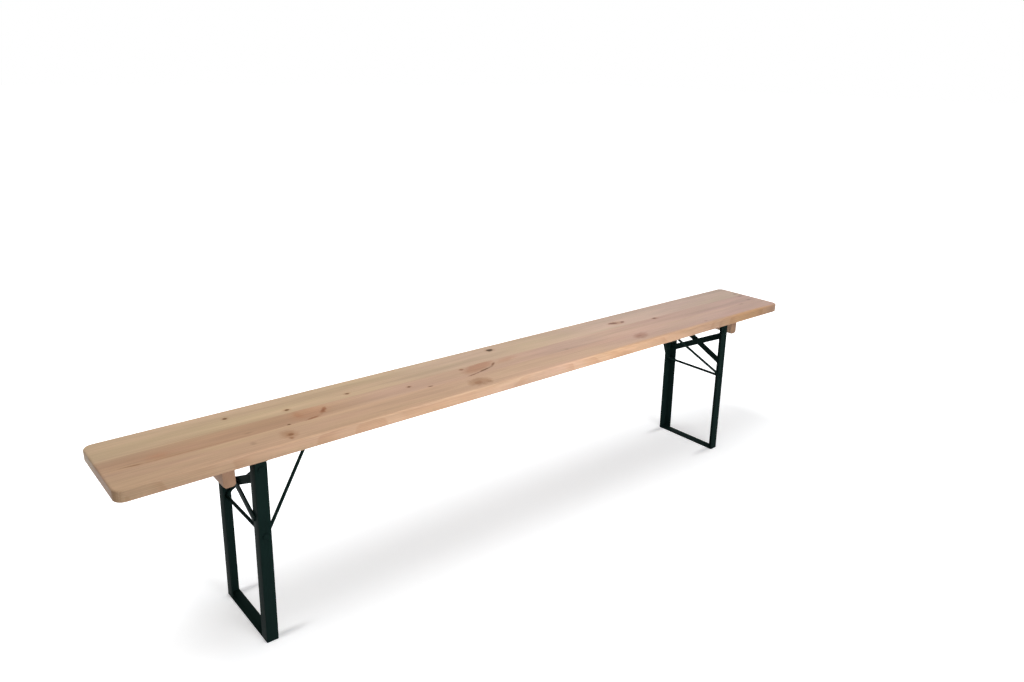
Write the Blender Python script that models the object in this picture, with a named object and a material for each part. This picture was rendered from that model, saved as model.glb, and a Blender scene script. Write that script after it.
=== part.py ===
"""Folding beer bench: an edge-glued seat board on two hinged steel leg frames.

Metres, +Z up, +X along the seat, -Y to the front. The origin is on the floor, under the middle
of the seat. Each leg frame swings inwards about a hinge below the board, and a V-shaped strut
of round bar on the frame snaps into a catch under the board, which locks the frame upright.
"""

import math

import bmesh
import bpy
from mathutils import Matrix, Vector

# Seat board
BOARD_LENGTH = 2.2
BOARD_WIDTH = 0.25
BOARD_THICKNESS = 0.028
SEAT_HEIGHT = 0.485
BOARD_CORNER_RADIUS = 0.022
BOARD_TOP_ROUNDING = 0.005
BOARD_LOWER_ROUNDING = 0.004
FRONT_STAVE_WIDTH = 0.083
MIDDLE_STAVE_WIDTH = 0.064
GLUE_LINE = 0.0003

# Battens across the underside
BATTEN_WIDTH = 0.027
BATTEN_DEPTH = 0.045
BATTEN_INSET = 0.019
BATTEN_FROM_LEG = 0.038
BATTEN_CHAMFER = 0.005
BATTEN_SCREW_SINK = 0.018

# Leg frames of angle steel
FRAME_INSET = 0.008
HINGE_FROM_END = 0.291
LEG_FLANGE = 0.028
LEG_THICKNESS = 0.003
LEG_INNER_FILLET = 0.0015
LEG_TOE_RADIUS = 0.0012
LEG_HEEL_RADIUS = 0.0008
LEG_SPLAY = math.radians(1.0)
HINGE_CLEARANCE = 0.006
SWING_ROUND_ABOVE_HINGE = 0.004
FOOT_BAR_THICKNESS = 0.004
FOOT_BAR_EDGE = 0.0008

# Crossed flat bars in each frame, placed by their ends' drop below the hinge
BRACE_WIDTH = 0.020
BRACE_THICKNESS = 0.003
BRACE_TOP_DROP = 0.023
BRACE_LOW_DROP = 0.122
BRACE_END_INSET = 0.0165

# Hinge brackets of bent sheet
BRACKET_THICKNESS = 0.003
BRACKET_BEND = 0.002
BRACKET_DEPTH = 0.044
BRACKET_INBOARD = 0.013
EAR_CLEARANCE = 0.0006

# Rivets, axle and strut
HINGE_RIVET_RADIUS = 0.004
RIVET_HEAD_RADIUS = 0.0075
RIVET_HEAD_HEIGHT = 0.0032
AXLE_RADIUS = 0.004
AXLE_DROP = 0.163
AXLE_CAP_RADIUS = 0.0072
AXLE_CAP_HEIGHT = 0.0038
AXLE_CAP_DEPTH = 0.0022
ARM_RADIUS = 0.004
ARM_FOOT_LENGTH = 0.0195
ARM_FOOT_BEND = 0.012
PIN_BEND = 0.008
STRUT_REACH = 0.1724
PIN_LENGTH = 0.023

# Catch under the board: a hook of bent strip and a leaf spring
CATCH_WIDTH = 0.012
HOOK_THICKNESS = 0.002
HOOK_BEND = 0.0025
HOOK_BASE_LENGTH = 0.046
HOOK_LIP_LENGTH = 0.007
HOOK_LIP_SLOPE = math.radians(20.0)
PIN_BELOW_BOARD = 0.009
PIN_CLEARANCE = 0.0004
SPRING_THICKNESS = 0.001
SPRING_WIDTH = 0.010
SPRING_BASE_LENGTH = 0.020
SPRING_SLOPE_LENGTH = 0.030
SPRING_NOSE_AHEAD = 0.008
SPRING_NOSE_RISE = 0.0024
SPRING_BEND = 0.002

# Wood screws
SCREW_SHANK_RADIUS = 0.002
SCREW_HEAD_RADIUS = 0.0042
SCREW_HEAD_HEIGHT = 0.0026
SCREW_EDGE = 0.0007
SCREW_BITE = 0.018
SCREW_TIP = 0.004
BRACKET_SCREW_SPACING = 0.020
CATCH_SCREW_FROM_END = 0.010
HOOK_SCREW_SPACING = 0.022

# Gap kept between pieces that touch, and how far a cutting shape runs past what it cuts
FIT_GAP = 0.0003
OVERRUN = 0.002

# Facets round a quarter turn, across the board's rim, and round a whole rod or turned piece
CORNER_STEPS = 5
RIM_STEPS = 3
ROUND_SIDES = 16
SHARP_ANGLE = math.radians(35.0)

# Places that follow from the sizes above
UNDERSIDE = SEAT_HEIGHT - BOARD_THICKNESS
HINGE_X = BOARD_LENGTH / 2 - HINGE_FROM_END
HINGE_DROP = LEG_FLANGE / 2 + HINGE_CLEARANCE
HINGE_Z = UNDERSIDE - HINGE_DROP
LEG_FACE_Y = BOARD_WIDTH / 2 - FRAME_INSET
LEG_INNER_Y = LEG_FACE_Y - LEG_THICKNESS
PIN_Z = UNDERSIDE - PIN_BELOW_BOARD
PIN_X = HINGE_X - STRUT_REACH
SIDES = {"left": -1, "right": 1}
ROWS = {"front": -1, "back": 1}


def clear_scene():
    for old in list(bpy.data.objects):
        bpy.data.objects.remove(old, do_unlink=True)


def make_material(name, colour, roughness, metallic):
    material = bpy.data.materials.new(name)
    material.use_nodes = True
    surface = material.node_tree.nodes["Principled BSDF"]
    surface.inputs["Base Color"].default_value = (*colour, 1)
    surface.inputs["Roughness"].default_value = roughness
    surface.inputs["Metallic"].default_value = metallic
    return material


def place(name, bm, material, parent=None, location=(0, 0, 0), tilt=0):
    """Closes the modelling of one piece and hangs it under its parent."""
    bmesh.ops.recalc_face_normals(bm, faces=bm.faces)
    mesh = bpy.data.meshes.new(name)
    bm.to_mesh(mesh)
    bm.free()
    mesh.materials.append(material)
    mesh.shade_smooth()
    mesh.set_sharp_from_angle(angle=SHARP_ANGLE)
    piece = bpy.data.objects.new(name, mesh)
    bpy.context.scene.collection.objects.link(piece)
    piece.parent = parent
    piece.location = location
    piece.rotation_euler.y = tilt
    return piece


def make_cutter(name, bm, parent=None, location=(0, 0, 0), tilt=0):
    """A shape that only cuts others: drawn as wire and left out of the render."""
    bmesh.ops.recalc_face_normals(bm, faces=bm.faces)
    mesh = bpy.data.meshes.new(name)
    bm.to_mesh(mesh)
    bm.free()
    cutter = bpy.data.objects.new(name, mesh)
    bpy.context.scene.collection.objects.link(cutter)
    cutter.parent = parent
    cutter.location = location
    cutter.rotation_euler.y = tilt
    cutter.hide_render = True
    cutter.display_type = "WIRE"
    return cutter


def cut(piece, cutter):
    boolean = piece.modifiers.new(cutter.name, "BOOLEAN")
    boolean.operation = "DIFFERENCE"
    boolean.solver = "EXACT"
    boolean.object = cutter


def make_pivot(name, location, parent=None):
    """The empty that carries one moving group, on its joint's axis."""
    pivot = bpy.data.objects.new(name, None)
    bpy.context.scene.collection.objects.link(pivot)
    pivot.parent = parent
    pivot.location = location
    return pivot


def arc(centre, radius, start, end, steps=CORNER_STEPS):
    """Points of an arc in a plane, its ends included."""
    points = []
    for step in range(steps + 1):
        angle = start + (end - start) * step / steps
        points.append((centre[0] + radius * math.cos(angle), centre[1] + radius * math.sin(angle)))
    return points


def rounded_outline(corners, radii):
    """A closed outline whose corners are rounded, each to its own radius, or left sharp at zero."""
    outline = []
    count = len(corners)
    for index, (corner, radius) in enumerate(zip(corners, radii)):
        here = Vector(corner)
        before = (Vector(corners[index - 1]) - here).normalized()
        after = (Vector(corners[(index + 1) % count]) - here).normalized()
        if radius == 0:
            outline.append(here)
            continue
        half = before.angle(after) / 2
        reach = radius / math.tan(half)
        centre = here + (before + after).normalized() * radius / math.sin(half)
        start = here + before * reach - centre
        end = here + after * reach - centre
        turn = start.angle_signed(end)
        for step in range(CORNER_STEPS + 1):
            spun = start.copy()
            spun.rotate(Matrix.Rotation(-turn * step / CORNER_STEPS, 2))
            outline.append(centre + spun)
    return [tuple(point) for point in outline]


def strip_outline(path, thickness, bend):
    """The edge view of a strip bent along a path: both faces, with every bend rounded."""
    half = thickness / 2
    sides = []
    for offset in (half, -half):
        side = []
        for index, point in enumerate(path):
            here = Vector(point)
            into = here - Vector(path[index - 1]) if index else Vector(path[1]) - here
            out = Vector(path[index + 1]) - here if index < len(path) - 1 else into
            into, out = into.normalized(), out.normalized()
            across = (Vector((-into.y, into.x)) + Vector((-out.y, out.x))).normalized()
            lean = across.dot(Vector((-into.y, into.x)))
            side.append(here + across * offset / lean)
        radii = []
        for index in range(len(path)):
            if index in (0, len(path) - 1):
                radii.append(0)
                continue
            into = Vector(path[index]) - Vector(path[index - 1])
            out = Vector(path[index + 1]) - Vector(path[index])
            outer = into.x * out.y - into.y * out.x < 0
            radii.append(bend + thickness if outer == (offset > 0) else bend)
        sides.append((side, radii))
    corners = sides[0][0] + sides[1][0][::-1]
    radii = sides[0][1] + sides[1][1][::-1]
    return rounded_outline([tuple(corner) for corner in corners], radii)


def prism(bm, outline, low, high, to_space):
    """An outline drawn out from low to high; to_space turns (u, v, height) into a point."""
    bottom = [bm.verts.new(to_space(u, v, low)) for u, v in outline]
    top = [bm.verts.new(to_space(u, v, high)) for u, v in outline]
    bm.faces.new(bottom)
    bm.faces.new(top[::-1])
    for index in range(len(outline)):
        after = (index + 1) % len(outline)
        bm.faces.new((bottom[index], top[index], top[after], bottom[after]))


def turned(bm, profile, to_space):
    """A turned piece: profile lists (radius, height) from tip to tip, a zero radius closing it."""
    rings = []
    for radius, height in profile:
        if radius == 0:
            rings.append([bm.verts.new(to_space(0, 0, height))])
            continue
        ring = []
        for u, v in arc((0, 0), radius, 0, 2 * math.pi, ROUND_SIDES)[:-1]:
            ring.append(bm.verts.new(to_space(u, v, height)))
        rings.append(ring)
    for lower, upper in zip(rings, rings[1:]):
        for index in range(ROUND_SIDES):
            after = (index + 1) % ROUND_SIDES
            if len(lower) == 1:
                bm.faces.new((lower[0], upper[index], upper[after]))
            elif len(upper) == 1:
                bm.faces.new((lower[index], upper[0], lower[after]))
            else:
                bm.faces.new((lower[index], upper[index], upper[after], lower[after]))


def bent_path(corners, bends):
    """A path of straight runs, with a rounded bend at each corner between its ends."""
    path = [Vector(corners[0])]
    for before, corner, after, bend in zip(corners, corners[1:], corners[2:], bends):
        here = Vector(corner)
        into = (Vector(before) - here).normalized()
        out = (Vector(after) - here).normalized()
        half = into.angle(out) / 2
        centre = here + (into + out).normalized() * bend / math.sin(half)
        start = here + into * bend / math.tan(half) - centre
        stop = here + out * bend / math.tan(half) - centre
        axis = start.cross(stop).normalized()
        turn = start.angle(stop)
        for step in range(CORNER_STEPS + 1):
            path.append(centre + Matrix.Rotation(turn * step / CORNER_STEPS, 3, axis) @ start)
    path.append(Vector(corners[-1]))
    return path


def bent_rod(bm, path, radius):
    """A round rod along a path of points, cut square at both ends."""
    points = [Vector(point) for point in path]
    across = Vector((1, 0, 0))
    rings = []
    for index, here in enumerate(points):
        into = here - points[index - 1] if index else points[1] - here
        out = points[index + 1] - here if index < len(points) - 1 else into
        along = (into.normalized() + out.normalized()).normalized()
        lean = along.dot(into.normalized())
        across = (across - along * across.dot(along)).normalized()
        other = along.cross(across)
        ring = []
        for u, v in arc((0, 0), radius, 0, 2 * math.pi, ROUND_SIDES)[:-1]:
            offset = across * u + other * v
            bend = (into.normalized() - out.normalized())
            if bend.length > 0:
                bend.normalize()
                offset += bend * offset.dot(bend) * (1 / lean - 1)
            ring.append(bm.verts.new(here + offset))
        rings.append(ring)
    bm.faces.new(rings[0])
    bm.faces.new(rings[-1][::-1])
    for lower, upper in zip(rings, rings[1:]):
        for index in range(ROUND_SIDES):
            after = (index + 1) % ROUND_SIDES
            bm.faces.new((lower[index], upper[index], upper[after], lower[after]))


def along_x(side):
    return lambda u, v, height: (side * height, u, v)


def along_y(side, row):
    return lambda u, v, height: (side * u, row * height, v)


def along_z(side, row):
    return lambda u, v, height: (side * u, row * v, height)


def box_outline(low_u, high_u, low_v, high_v):
    return [(low_u, low_v), (high_u, low_v), (high_u, high_v), (low_u, high_v)]


# Seat board


def make_stave(name, low_y, high_y, wood, pilot_holes):
    """One stave: the slice of the whole board between two glue lines."""
    half_length, half_width = BOARD_LENGTH / 2, BOARD_WIDTH / 2
    corners = box_outline(-half_length, half_length, -half_width, half_width)
    outline = rounded_outline(corners, [BOARD_CORNER_RADIUS] * len(corners))
    bm = bmesh.new()
    prism(bm, outline, UNDERSIDE, SEAT_HEIGHT, along_z(1, 1))
    bmesh.ops.recalc_face_normals(bm, faces=bm.faces)
    for height, rounding in ((SEAT_HEIGHT, BOARD_TOP_ROUNDING), (UNDERSIDE, BOARD_LOWER_ROUNDING)):
        rim = []
        for edge in bm.edges:
            if all(abs(vert.co.z - height) < FIT_GAP for vert in edge.verts):
                rim.append(edge)
        bmesh.ops.bevel(
            bm, geom=rim, offset=rounding, segments=RIM_STEPS, profile=0.5, affect="EDGES"
        )
    for plane_y, outwards in ((low_y, -1), (high_y, 1)):
        if abs(plane_y) >= half_width:
            continue
        sliced = bmesh.ops.bisect_plane(
            bm,
            geom=bm.verts[:] + bm.edges[:] + bm.faces[:],
            plane_co=(0, plane_y, 0),
            plane_no=(0, outwards, 0),
            clear_outer=True,
        )
        edges = [item for item in sliced["geom_cut"] if isinstance(item, bmesh.types.BMEdge)]
        bmesh.ops.edgenet_fill(bm, edges=edges)
    stave = place(name, bm, wood)
    cut(stave, pilot_holes)
    return stave


def make_board(wood, pilot_holes):
    front = -BOARD_WIDTH / 2
    first = front + FRONT_STAVE_WIDTH
    second = first + MIDDLE_STAVE_WIDTH
    half_gap = GLUE_LINE / 2
    make_stave("stave_front", front, first - half_gap, wood, pilot_holes)
    make_stave("stave_middle", first + half_gap, second - half_gap, wood, pilot_holes)
    make_stave("stave_back", second + half_gap, -front, wood, pilot_holes)


# Battens


def batten_x():
    return HINGE_X + LEG_FLANGE / 2 + BATTEN_FROM_LEG + BATTEN_WIDTH / 2


def batten_screw_rows():
    """The screws' places across the board: the middle of what each stave has over the batten."""
    end = BOARD_WIDTH / 2 - BATTEN_INSET
    first = -BOARD_WIDTH / 2 + FRONT_STAVE_WIDTH
    second = first + MIDDLE_STAVE_WIDTH
    return [(first - end) / 2, (first + second) / 2, (second + end) / 2]


def make_batten(name, side, wood):
    """A planed bar under the board, with a deep counterbore below each of its screws."""
    half_length = BOARD_WIDTH / 2 - BATTEN_INSET
    top = UNDERSIDE - FIT_GAP
    bottom = UNDERSIDE - BATTEN_DEPTH
    half = BATTEN_WIDTH / 2
    corners = box_outline(-half, half, bottom, top)
    bm = bmesh.new()
    outline = rounded_outline(corners, [BATTEN_CHAMFER, BATTEN_CHAMFER, 0, 0])
    prism(bm, outline, -half_length, half_length, along_y(side, 1))
    batten = place(name, bm, wood, location=(side * batten_x(), 0, 0))

    holes = bmesh.new()
    bore = SCREW_HEAD_RADIUS + FIT_GAP
    sink = bottom + BATTEN_SCREW_SINK
    profile = [
        (0, bottom - OVERRUN),
        (bore, bottom - OVERRUN),
        (bore, sink),
        (SCREW_SHANK_RADIUS + FIT_GAP, sink),
        (SCREW_SHANK_RADIUS + FIT_GAP, top + OVERRUN),
        (0, top + OVERRUN),
    ]
    for y in batten_screw_rows():
        turned(holes, profile, lambda u, v, height, y=y: (u, y + v, height))
    cut(batten, make_cutter(name + "_holes", holes, location=(side * batten_x(), 0, 0)))


# Screws and the pilot holes that they sit in


def screw_profile(head_seat, grip):
    """A pan-head wood screw that points up: its head's face is at head_seat, its bite past grip."""
    seat = head_seat - FIT_GAP
    tip = head_seat + grip + SCREW_BITE
    return [
        (0, seat - SCREW_HEAD_HEIGHT),
        (SCREW_HEAD_RADIUS - 2 * SCREW_EDGE, seat - SCREW_HEAD_HEIGHT),
        (SCREW_HEAD_RADIUS - SCREW_EDGE / 2, seat - SCREW_HEAD_HEIGHT + SCREW_EDGE),
        (SCREW_HEAD_RADIUS, seat - SCREW_HEAD_HEIGHT / 2),
        (SCREW_HEAD_RADIUS, seat),
        (SCREW_SHANK_RADIUS, seat),
        (SCREW_SHANK_RADIUS, tip - SCREW_TIP),
        (0, tip),
    ]


def screw_places():
    """Every wood screw by name: x, y, the height of the face under its head, and its grip."""
    places = {}
    for side_name, side in SIDES.items():
        for number, y in enumerate(batten_screw_rows(), start=1):
            seat = UNDERSIDE - BATTEN_DEPTH + BATTEN_SCREW_SINK
            grip = BATTEN_DEPTH - BATTEN_SCREW_SINK
            places[f"batten_screw_{side_name}_{number}"] = (side * batten_x(), y, seat, grip)
        for row_name, row in ROWS.items():
            for number, (outboard, inwards) in enumerate(bracket_screw_offsets(), start=1):
                x = side * (HINGE_X + outboard)
                y = row * (ear_face_y() - inwards)
                seat = UNDERSIDE - FIT_GAP - BRACKET_THICKNESS
                name = f"bracket_screw_{side_name}_{row_name}_{number}"
                places[name] = (x, y, seat, BRACKET_THICKNESS)
        for number in (1, 2):
            offset = hook_base_end() - CATCH_SCREW_FROM_END - (number - 1) * HOOK_SCREW_SPACING
            seat = UNDERSIDE - FIT_GAP - HOOK_THICKNESS
            name = f"catch_screw_{side_name}_{number}"
            places[name] = (side * (PIN_X + offset), 0, seat, HOOK_THICKNESS)
        seat = UNDERSIDE - FIT_GAP - SPRING_THICKNESS
        offset = spring_path()[0][0] + CATCH_SCREW_FROM_END
        places[f"spring_screw_{side_name}"] = (side * (PIN_X + offset), 0, seat, SPRING_THICKNESS)
    return places


def make_screws(steel):
    for name, (x, y, seat, grip) in screw_places().items():
        bm = bmesh.new()
        turned(bm, screw_profile(0, grip), along_z(1, 1))
        place(name, bm, steel, location=(x, y, seat))


def make_pilot_holes():
    """One cutter for all the holes that the screws leave in the board."""
    holes = bmesh.new()
    radius = SCREW_SHANK_RADIUS + FIT_GAP
    for x, y, seat, grip in screw_places().values():
        top = seat + grip + SCREW_BITE + FIT_GAP
        profile = [
            (0, UNDERSIDE - OVERRUN),
            (radius, UNDERSIDE - OVERRUN),
            (radius, top - SCREW_TIP),
            (0, top + FIT_GAP),
        ]
        turned(holes, profile, lambda u, v, height, x=x, y=y: (x + u, y + v, height))
    return make_cutter("pilot_holes", holes)


# Hinge brackets


def ear_radius():
    return LEG_FLANGE / 2 - LEG_THICKNESS - LEG_INNER_FILLET - EAR_CLEARANCE


def ear_face_y():
    return LEG_INNER_Y - FIT_GAP


def bracket_screw_offsets():
    """Where a bracket's screws stand: outboard of the hinge, and inwards of the ear's face."""
    middle = (BRACKET_DEPTH + BRACKET_THICKNESS) / 2
    across = (ear_radius() - BRACKET_INBOARD) / 2
    return [(across, middle + step * BRACKET_SCREW_SPACING / 2) for step in (-1, 1)]


def make_hinge_bracket(name, side, row, steel):
    """An angle of bent sheet: a plate screwed to the board, and an ear beside the leg."""
    top = HINGE_DROP - FIT_GAP
    outer = ear_face_y()
    half = BRACKET_THICKNESS / 2
    reach = ear_radius()
    path = [(outer - BRACKET_DEPTH, top - half), (outer - half, top - half), (outer - half, -reach)]
    bm = bmesh.new()
    outline = strip_outline(path, BRACKET_THICKNESS, BRACKET_BEND)
    prism(bm, outline, -BRACKET_INBOARD, reach, lambda u, v, height: (side * height, row * u, v))
    bracket = place(name, bm, steel, location=(side * HINGE_X, 0, HINGE_Z))

    # What the bracket's blank loses beside the ear's round end.
    waste = bmesh.new()
    low = -reach - OVERRUN
    plate_face = top - BRACKET_THICKNESS - BRACKET_BEND
    ear_waste = [(reach + OVERRUN, low), (reach + OVERRUN, 0)]
    ear_waste += arc((0, 0), reach, 0, -math.pi, 4 * CORNER_STEPS)
    ear_waste += [(-BRACKET_INBOARD - OVERRUN, plate_face), (-BRACKET_INBOARD - OVERRUN, low)]
    ear_inner = outer - BRACKET_THICKNESS - BRACKET_BEND
    prism(waste, ear_waste, ear_inner, outer + OVERRUN, along_y(side, row))
    cut(bracket, make_cutter(name + "_ear", waste, location=(side * HINGE_X, 0, HINGE_Z)))

    holes = bmesh.new()
    pin = HINGE_RIVET_RADIUS + FIT_GAP
    profile = [(0, ear_inner), (pin, ear_inner), (pin, outer + OVERRUN), (0, outer + OVERRUN)]
    turned(holes, profile, along_y(side, row))
    bore = SCREW_SHANK_RADIUS + FIT_GAP
    for x, inwards in bracket_screw_offsets():
        y = outer - inwards
        low, high = top - BRACKET_THICKNESS - OVERRUN, top + OVERRUN
        profile = [(0, low), (bore, low), (bore, high), (0, high)]
        turned(holes, profile, lambda u, v, height, x=x, y=y: (side * (x + u), row * (y + v), height))
    cut(bracket, make_cutter(name + "_holes", holes, location=(side * HINGE_X, 0, HINGE_Z)))


def make_hinge_rivet(name, side, row, steel):
    """A rivet through the leg and the ear, with a domed head at each end."""
    outer = LEG_FACE_Y + FIT_GAP
    inner = ear_face_y() - BRACKET_THICKNESS - FIT_GAP
    profile = [(0, inner - RIVET_HEAD_HEIGHT)]
    for share in (3 / 4, 1 / 2, 1 / 4):
        turn = share * math.pi / 2
        profile.append((RIVET_HEAD_RADIUS * math.cos(turn), inner - RIVET_HEAD_HEIGHT * math.sin(turn)))
    profile += [(RIVET_HEAD_RADIUS, inner), (HINGE_RIVET_RADIUS, inner)]
    profile += [(HINGE_RIVET_RADIUS, outer), (RIVET_HEAD_RADIUS, outer)]
    for share in (1 / 4, 1 / 2, 3 / 4):
        turn = share * math.pi / 2
        profile.append((RIVET_HEAD_RADIUS * math.cos(turn), outer + RIVET_HEAD_HEIGHT * math.sin(turn)))
    profile.append((0, outer + RIVET_HEAD_HEIGHT))
    bm = bmesh.new()
    turned(bm, profile, along_y(side, row))
    place(name, bm, steel, location=(side * HINGE_X, 0, HINGE_Z))


# Leg frames


def leg_outline():
    """The angle's section seen from above: the heel is outboard, at the frame's outer face."""
    half = LEG_FLANGE / 2
    toe = LEG_FACE_Y - LEG_FLANGE
    corners = [
        (-half, LEG_FACE_Y),
        (half, LEG_FACE_Y),
        (half, toe),
        (half - LEG_THICKNESS, toe),
        (half - LEG_THICKNESS, LEG_INNER_Y),
        (-half, LEG_INNER_Y),
    ]
    radii = [0, LEG_HEEL_RADIUS, 0, LEG_TOE_RADIUS, LEG_INNER_FILLET, LEG_TOE_RADIUS]
    return rounded_outline(corners, radii)


def make_leg(name, side, row, pivot, steel):
    """A leg of angle steel, leaning out by the splay. Its square outboard top meets the board
    when the frame is up, and its inboard top corner is rounded so that it can swing."""
    top = HINGE_DROP - FIT_GAP
    foot = FOOT_BAR_THICKNESS + FIT_GAP - HINGE_Z
    tilt = -side * LEG_SPLAY
    bm = bmesh.new()
    prism(bm, leg_outline(), 2 * foot, 2 * top, along_z(side, row))
    lean = Matrix.Rotation(-tilt, 3, "Y")
    level = lean @ Vector((0, 0, 1))
    for height, outwards in ((foot, -1), (top, 1)):
        sliced = bmesh.ops.bisect_plane(
            bm,
            geom=bm.verts[:] + bm.edges[:] + bm.faces[:],
            plane_co=level * height,
            plane_no=level * outwards,
            clear_outer=True,
        )
        edges = [item for item in sliced["geom_cut"] if isinstance(item, bmesh.types.BMEdge)]
        bmesh.ops.edgenet_fill(bm, edges=edges)
    leg = place(name, bm, steel, parent=pivot, tilt=tilt)

    # The swing corner: what lies further from the hinge than the board does.
    waste = bmesh.new()
    reach = top - FIT_GAP
    side_reach = reach + OVERRUN
    start = math.pi / 2 - LEG_SPLAY
    end = math.pi - math.asin(SWING_ROUND_ABOVE_HINGE / reach)
    corner = arc((0, 0), reach, start, end, 2 * CORNER_STEPS)
    corner += [(-side_reach, SWING_ROUND_ABOVE_HINGE), (-side_reach, top + OVERRUN)]
    corner += [(reach * math.cos(start), top + OVERRUN)]
    prism(waste, corner, LEG_INNER_Y - LEG_INNER_FILLET, LEG_FACE_Y + OVERRUN, along_y(side, row))
    for radius, drop in ((HINGE_RIVET_RADIUS, 0), (AXLE_RADIUS, AXLE_DROP)):
        bore = radius + FIT_GAP
        low, high = LEG_INNER_Y - OVERRUN, LEG_FACE_Y + OVERRUN
        profile = [(0, low), (bore, low), (bore, high), (0, high)]
        turned(waste, profile, lambda u, v, height, drop=drop: (side * u, row * height, v - drop))
    cut(leg, make_cutter(name + "_holes", waste, parent=pivot, tilt=tilt))


def make_foot_bar(name, side, pivot, steel):
    """A flat bar under both legs, level on the floor, which the frame stands on."""
    half = LEG_FLANGE / 2
    corners = box_outline(-half, half, 0, FOOT_BAR_THICKNESS)
    outline = rounded_outline(corners, [FOOT_BAR_EDGE] * len(corners))
    bm = bmesh.new()
    prism(bm, outline, -LEG_FACE_Y, LEG_FACE_Y, along_y(side, 1))
    shift = (HINGE_Z - FOOT_BAR_THICKNESS) * math.tan(LEG_SPLAY)
    place(name, bm, steel, parent=pivot, location=(side * shift, 0, -HINGE_Z))


def make_brace(name, side, row, outboard, pivot, steel):
    """A flat bar from high on one leg to low on the other, on one face of the end flanges."""
    end = LEG_FACE_Y - BRACE_END_INSET
    high, low = Vector((row * end, -BRACE_TOP_DROP)), Vector((-row * end, -BRACE_LOW_DROP))
    along = (low - high).normalized()
    across = Vector((-along.y, along.x)) * BRACE_WIDTH / 2
    corners = [high + across, low + across, low - across, high - across]
    bm = bmesh.new()
    outline = rounded_outline([tuple(corner) for corner in corners], [BRACE_THICKNESS] * len(corners))
    prism(bm, outline, outboard, outboard + BRACE_THICKNESS, along_x(side))
    place(name, bm, steel, parent=pivot, tilt=-side * LEG_SPLAY)


def make_leg_frame(side_name, side, steel):
    pivot = make_pivot(f"leg_frame_{side_name}", (side * HINGE_X, 0, HINGE_Z))
    for row_name, row in ROWS.items():
        make_leg(f"leg_{side_name}_{row_name}", side, row, pivot, steel)
    make_foot_bar(f"foot_bar_{side_name}", side, pivot, steel)
    face = LEG_FLANGE / 2
    inner = face - LEG_THICKNESS - FIT_GAP - BRACE_THICKNESS
    make_brace(f"brace_inner_{side_name}", side, -1, inner, pivot, steel)
    make_brace(f"brace_outer_{side_name}", side, 1, face + FIT_GAP, pivot, steel)
    return pivot


# Struts


def strut_origin():
    """The axle's place from the hinge: outboard, and down."""
    return AXLE_DROP * math.sin(LEG_SPLAY), -AXLE_DROP * math.cos(LEG_SPLAY)


def make_axle(name, side, pivot, steel):
    """The round bar through both legs that the strut turns on."""
    half = LEG_FACE_Y + FIT_GAP + AXLE_CAP_DEPTH
    bm = bmesh.new()
    bent_rod(bm, [(0, -half, 0), (0, half, 0)], AXLE_RADIUS)
    place(name, bm, steel, parent=pivot)


def make_axle_cap(name, side, row, pivot, steel):
    """A pressed cap on the axle's end, outside the leg."""
    face = LEG_FACE_Y + FIT_GAP
    bore = AXLE_RADIUS + FIT_GAP
    floor = face + AXLE_CAP_DEPTH + FIT_GAP
    crown = face + AXLE_CAP_HEIGHT
    profile = [(0, floor), (bore, floor), (bore, face), (AXLE_CAP_RADIUS, face)]
    for share in (1 / 3, 2 / 3):
        turn = share * math.pi / 2
        profile.append((AXLE_CAP_RADIUS * math.cos(turn), face + AXLE_CAP_HEIGHT * math.sin(turn)))
    profile.append((0, crown))
    bm = bmesh.new()
    turned(bm, profile, along_y(side, row))
    place(name, bm, steel, parent=pivot)


def make_arm(name, side, pivot, steel):
    """One round bar bent to a V: its feet stand on the axle beside the legs, and the short
    straight run between its two arms is the pin that the catch holds."""
    shift, drop = strut_origin()
    foot_y = LEG_INNER_Y - FIT_GAP - ARM_RADIUS
    rise = Vector((-STRUT_REACH - shift, PIN_Z - HINGE_Z - drop))
    knee = rise.normalized() * ARM_FOOT_LENGTH
    half_pin = PIN_LENGTH / 2
    corners = [
        (0, -foot_y, 0),
        (side * knee.x, -foot_y, knee.y),
        (side * rise.x, -half_pin, rise.y),
        (side * rise.x, half_pin, rise.y),
        (side * knee.x, foot_y, knee.y),
        (0, foot_y, 0),
    ]
    bm = bmesh.new()
    bends = (ARM_FOOT_BEND, PIN_BEND, PIN_BEND, ARM_FOOT_BEND)
    bent_rod(bm, bent_path(corners, bends), ARM_RADIUS)
    arm = place(name, bm, steel, parent=pivot)

    # Both feet are saddled to the round of the axle, where they are welded.
    saddle = bmesh.new()
    bent_rod(saddle, [(0, -LEG_INNER_Y, 0), (0, LEG_INNER_Y, 0)], AXLE_RADIUS + FIT_GAP)
    cut(arm, make_cutter(name + "_saddle", saddle, parent=pivot))


def make_strut(side_name, side, frame_pivot, steel):
    shift, drop = strut_origin()
    pivot = make_pivot(f"strut_{side_name}", (side * shift, 0, drop), frame_pivot)
    make_axle(f"strut_axle_{side_name}", side, pivot, steel)
    make_arm(f"strut_arm_{side_name}", side, pivot, steel)
    for row_name, row in ROWS.items():
        make_axle_cap(f"axle_cap_{side_name}_{row_name}", side, row, pivot, steel)


# Catches, drawn about the pin: u is outboard of it, v above it


def hook_wall():
    return ARM_RADIUS + PIN_CLEARANCE + HOOK_THICKNESS / 2


def hook_base_end():
    return hook_wall() + HOOK_BASE_LENGTH


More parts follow.
